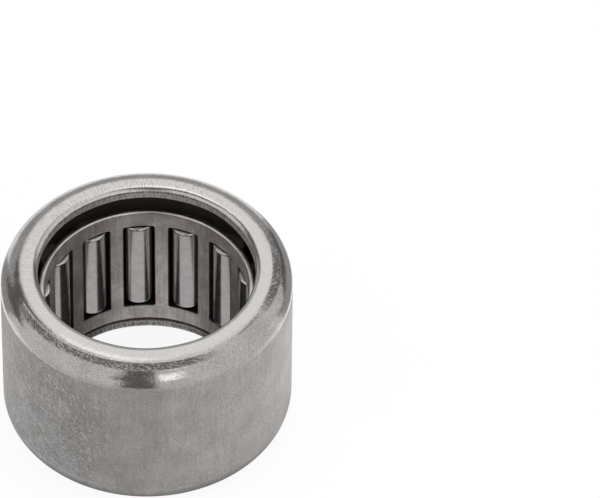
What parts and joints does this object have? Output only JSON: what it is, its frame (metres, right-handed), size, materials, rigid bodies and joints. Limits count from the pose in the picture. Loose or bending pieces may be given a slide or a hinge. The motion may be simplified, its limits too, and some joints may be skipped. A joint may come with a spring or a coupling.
{
  "type": "needle roller bearing",
  "caption": "Drawn cup needle roller bearing with open ends: a thin steel cup with inward lips, a window cage and caged needle rollers that run straight on a shaft.",
  "frame": {"origin": "on the bearing's axis, in the plane of the lower end face", "axes": "+Z along the bearing's axis, from the lower end face to the upper one; +X through the first roller"},
  "size_m": [0.018, 0.018, 0.012],
  "materials": {
    "cup_steel": "fine matt tumbled steel, worn brighter on the rounded edge and the lip",
    "cage_steel": "matt brownish grey sheet steel with a bright sheared end edge",
    "roller_steel": "ground and polished bearing steel"
  },
  "bodies": {
    "cup_body": {"drawn_cup": "cup_steel"},
    "cage_body": {"cage": "cage_steel"},
    "roller_01_body": {"roller_01": "roller_steel"},
    "roller_02_body": {"roller_02": "roller_steel"},
    "roller_03_body": {"roller_03": "roller_steel"},
    "roller_04_body": {"roller_04": "roller_steel"},
    "roller_05_body": {"roller_05": "roller_steel"},
    "roller_06_body": {"roller_06": "roller_steel"},
    "roller_07_body": {"roller_07": "roller_steel"},
    "roller_08_body": {"roller_08": "roller_steel"},
    "roller_09_body": {"roller_09": "roller_steel"},
    "roller_10_body": {"roller_10": "roller_steel"},
    "roller_11_body": {"roller_11": "roller_steel"},
    "roller_12_body": {"roller_12": "roller_steel"},
    "roller_13_body": {"roller_13": "roller_steel"},
    "roller_14_body": {"roller_14": "roller_steel"}
  },
  "joints": [
    {"name": "cage_spin", "type": "hinge", "parent": "cup_body", "child": "cage_body", "pos_m": [0, 0, 0.006], "axis": [0, 0, 1], "continuous": true},
    {"name": "roller_01_spin", "type": "hinge", "parent": "cage_body", "child": "roller_01_body", "pos_m": [0.007, 0, 0.006], "axis": [0, 0, 1], "continuous": true},
    {"name": "roller_02_spin", "type": "hinge", "parent": "cage_body", "child": "roller_02_body", "pos_m": [0.00631, 0.00304, 0.006], "axis": [0, 0, 1], "continuous": true},
    {"name": "roller_03_spin", "type": "hinge", "parent": "cage_body", "child": "roller_03_body", "pos_m": [0.00436, 0.00547, 0.006], "axis": [0, 0, 1], "continuous": true},
    {"name": "roller_04_spin", "type": "hinge", "parent": "cage_body", "child": "roller_04_body", "pos_m": [0.00156, 0.00682, 0.006], "axis": [0, 0, 1], "continuous": true},
    {"name": "roller_05_spin", "type": "hinge", "parent": "cage_body", "child": "roller_05_body", "pos_m": [-0.00156, 0.00682, 0.006], "axis": [0, 0, 1], "continuous": true},
    {"name": "roller_06_spin", "type": "hinge", "parent": "cage_body", "child": "roller_06_body", "pos_m": [-0.00436, 0.00547, 0.006], "axis": [0, 0, 1], "continuous": true},
    {"name": "roller_07_spin", "type": "hinge", "parent": "cage_body", "child": "roller_07_body", "pos_m": [-0.00631, 0.00304, 0.006], "axis": [0, 0, 1], "continuous": true},
    {"name": "roller_08_spin", "type": "hinge", "parent": "cage_body", "child": "roller_08_body", "pos_m": [-0.007, 0, 0.006], "axis": [0, 0, 1], "continuous": true},
    {"name": "roller_09_spin", "type": "hinge", "parent": "cage_body", "child": "roller_09_body", "pos_m": [-0.00631, -0.00304, 0.006], "axis": [0, 0, 1], "continuous": true},
    {"name": "roller_10_spin", "type": "hinge", "parent": "cage_body", "child": "roller_10_body", "pos_m": [-0.00436, -0.00547, 0.006], "axis": [0, 0, 1], "continuous": true},
    {"name": "roller_11_spin", "type": "hinge", "parent": "cage_body", "child": "roller_11_body", "pos_m": [-0.00156, -0.00682, 0.006], "axis": [0, 0, 1], "continuous": true},
    {"name": "roller_12_spin", "type": "hinge", "parent": "cage_body", "child": "roller_12_body", "pos_m": [0.00156, -0.00682, 0.006], "axis": [0, 0, 1], "continuous": true},
    {"name": "roller_13_spin", "type": "hinge", "parent": "cage_body", "child": "roller_13_body", "pos_m": [0.00436, -0.00547, 0.006], "axis": [0, 0, 1], "continuous": true},
    {"name": "roller_14_spin", "type": "hinge", "parent": "cage_body", "child": "roller_14_body", "pos_m": [0.00631, -0.00304, 0.006], "axis": [0, 0, 1], "continuous": true}
  ],
  "couplings": [
    {"joint": "roller_01_spin", "follows": "cage_spin", "ratio": -8},
    {"joint": "roller_02_spin", "follows": "cage_spin", "ratio": -8},
    {"joint": "roller_03_spin", "follows": "cage_spin", "ratio": -8},
    {"joint": "roller_04_spin", "follows": "cage_spin", "ratio": -8},
    {"joint": "roller_05_spin", "follows": "cage_spin", "ratio": -8},
    {"joint": "roller_06_spin", "follows": "cage_spin", "ratio": -8},
    {"joint": "roller_07_spin", "follows": "cage_spin", "ratio": -8},
    {"joint": "roller_08_spin", "follows": "cage_spin", "ratio": -8},
    {"joint": "roller_09_spin", "follows": "cage_spin", "ratio": -8},
    {"joint": "roller_10_spin", "follows": "cage_spin", "ratio": -8},
    {"joint": "roller_11_spin", "follows": "cage_spin", "ratio": -8},
    {"joint": "roller_12_spin", "follows": "cage_spin", "ratio": -8},
    {"joint": "roller_13_spin", "follows": "cage_spin", "ratio": -8},
    {"joint": "roller_14_spin", "follows": "cage_spin", "ratio": -8}
  ]
}
